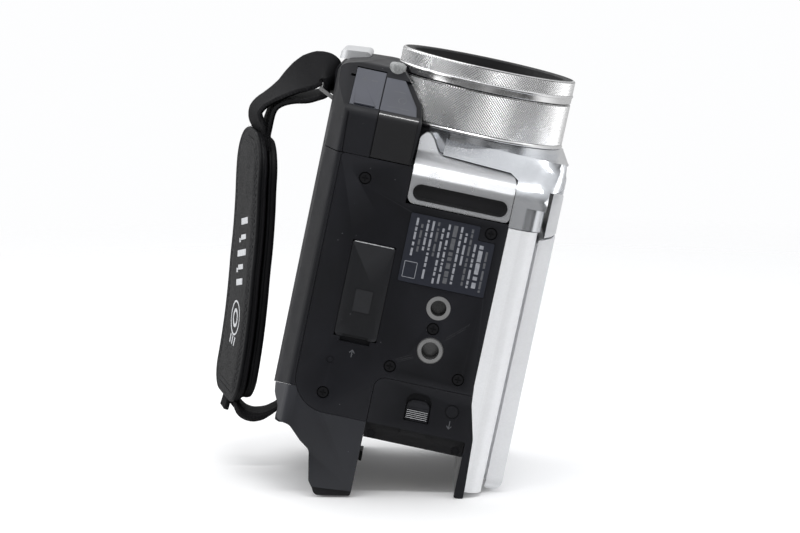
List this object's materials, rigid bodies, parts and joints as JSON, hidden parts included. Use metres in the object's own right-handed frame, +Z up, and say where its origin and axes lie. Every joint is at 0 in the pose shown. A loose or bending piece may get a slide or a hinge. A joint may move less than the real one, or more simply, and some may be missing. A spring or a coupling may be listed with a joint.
{
  "type": "camcorder",
  "caption": "Compact camcorder with a ringed lens barrel, a side display that swings out, a battery bay between two rear legs and a padded hand strap.",
  "frame": {"origin": "on the axis of the tripod socket, in the plane of the flat underside", "axes": "+Z up out of the flat underside; -Y is the way the lens looks; +X is the display side and -X the grip side"},
  "size_m": [0.0982, 0.1307, 0.0718],
  "materials": {
    "black_plastic": "fine matt texture",
    "grip_plastic": "satin dark grey",
    "silver_paint": "metallic silver paint",
    "ring_metal": "knurled and polished",
    "gloss_black": "polished",
    "steel": "satin",
    "screw_steel": "blackened",
    "lens_glass": "coated",
    "lens_black": "anti-reflection ribs",
    "lamp": "translucent",
    "label": "printed film",
    "screen": "polished",
    "casting": "as cast",
    "board": "solder mask",
    "contacts": "plated",
    "strap_leather": "fine grain",
    "strap_web": "woven nylon"
  },
  "bodies": {
    "root": {"bottom_cover": "black_plastic", "latch_panel": "black_plastic", "card_socket": "black_plastic", "rating_label": "label", "tripod_socket": "steel", "locating_socket": "steel", "body_screws": "screw_steel", "side_shell": "silver_paint", "side_panel": "black_plastic", "leg_wall": "black_plastic", "grip_shell": "black_plastic", "top_cover": "black_plastic", "rear_grip_housing": "grip_plastic", "rear_panel": "black_plastic", "dc_jack": "gloss_black", "dial_hub": "black_plastic", "battery_plate": "black_plastic", "battery_terminals": "contacts", "battery_rail": "black_plastic", "front_housing": "silver_paint", "hinge_pin": "steel", "mic_bracket": "silver_paint", "mic_grille": "gloss_black", "front_grip_housing": "black_plastic", "jack_panel": "black_plastic", "jack_sockets": "steel", "facet_panel": "grip_plastic", "gloss_window": "gloss_black", "front_lamp": "lamp", "front_trim": "silver_paint", "lens_front_ring": "ring_metal", "lens_tube": "lens_black", "lens_baffle": "lens_black", "front_element": "lens_glass", "lens_group": "lens_glass", "sensor_block": "casting", "chassis": "casting", "storage_unit": "casting", "main_board": "board", "zoom_post": "black_plastic", "strap_pad_outer": "strap_leather", "strap_pad_inner": "strap_leather", "strap_webbing": "strap_web", "strap_ring": "steel", "strap_rear_bar": "steel"},
    "display": {"lcd_cover": "silver_paint", "lcd_bezel": "black_plastic", "lcd_screen": "screen", "lcd_hinge_arm": "silver_paint", "lcd_tilt_shaft": "steel"},
    "lens_ring": {"focus_ring": "ring_metal"},
    "card_door": {"sd_door": "grip_plastic"},
    "jack_door": {"jack_cover": "grip_plastic"},
    "latch": {"battery_latch": "black_plastic"},
    "zoom": {"zoom_lever": "silver_paint"},
    "shutter": {"snapshot_button": "silver_paint"},
    "record": {"record_button": "silver_paint"},
    "dial": {"mode_dial": "black_plastic"},
    "play": {"play_button": "silver_paint"},
    "info": {"info_button": "silver_paint"}
  },
  "joints": [
    {"name": "display_open", "type": "hinge", "parent": "root", "child": "display", "pos_m": [0.0246, -0.055, 0.035], "axis": [0, 0, -1], "range_deg": [0, 90]},
    {"name": "focus_turn", "type": "hinge", "parent": "root", "child": "lens_ring", "pos_m": [0, -0.0683, 0.037], "axis": [0, -1, 0], "continuous": true},
    {"name": "card_door_open", "type": "hinge", "parent": "root", "child": "card_door", "pos_m": [-0.02185, -0.026, 0.00095], "axis": [-1, 0, 0], "range_deg": [0, 100]},
    {"name": "jack_cover_open", "type": "hinge", "parent": "root", "child": "jack_door", "pos_m": [-0.03295, -0.07353, 0.01225], "axis": [-1, 0, 0], "range_deg": [0, 90]},
    {"name": "battery_release", "type": "slide", "parent": "root", "child": "latch", "axis": [0, -1, 0], "range_m": [0, 0.0019], "stiffness_N_per_m": 300, "springref_m": -0.001},
    {"name": "zoom_rock", "type": "hinge", "parent": "root", "child": "zoom", "pos_m": [-0.025, 0.006, 0.07], "axis": [0, 0, 1], "range_deg": [-18, 18], "stiffness_Nm_per_rad": 0.02},
    {"name": "snapshot_press", "type": "slide", "parent": "root", "child": "shutter", "axis": [0, 0, -1], "range_m": [0, 0.0008], "stiffness_N_per_m": 400, "springref_m": -0.0005},
    {"name": "record_press", "type": "slide", "parent": "root", "child": "record", "axis": [0, -1, 0], "range_m": [0, 0.0008], "stiffness_N_per_m": 400, "springref_m": -0.0005},
    {"name": "mode_turn", "type": "hinge", "parent": "root", "child": "dial", "pos_m": [-0.019, 0.0439, 0.045], "axis": [0, 1, 0], "range_deg": [-20, 20]},
    {"name": "play_press", "type": "slide", "parent": "root", "child": "play", "axis": [-1, 0, 0], "range_m": [0, 0.0003], "stiffness_N_per_m": 400, "springref_m": -0.0005},
    {"name": "info_press", "type": "slide", "parent": "root", "child": "info", "axis": [-1, 0, 0], "range_m": [0, 0.0003], "stiffness_N_per_m": 400, "springref_m": -0.0005}
  ]
}
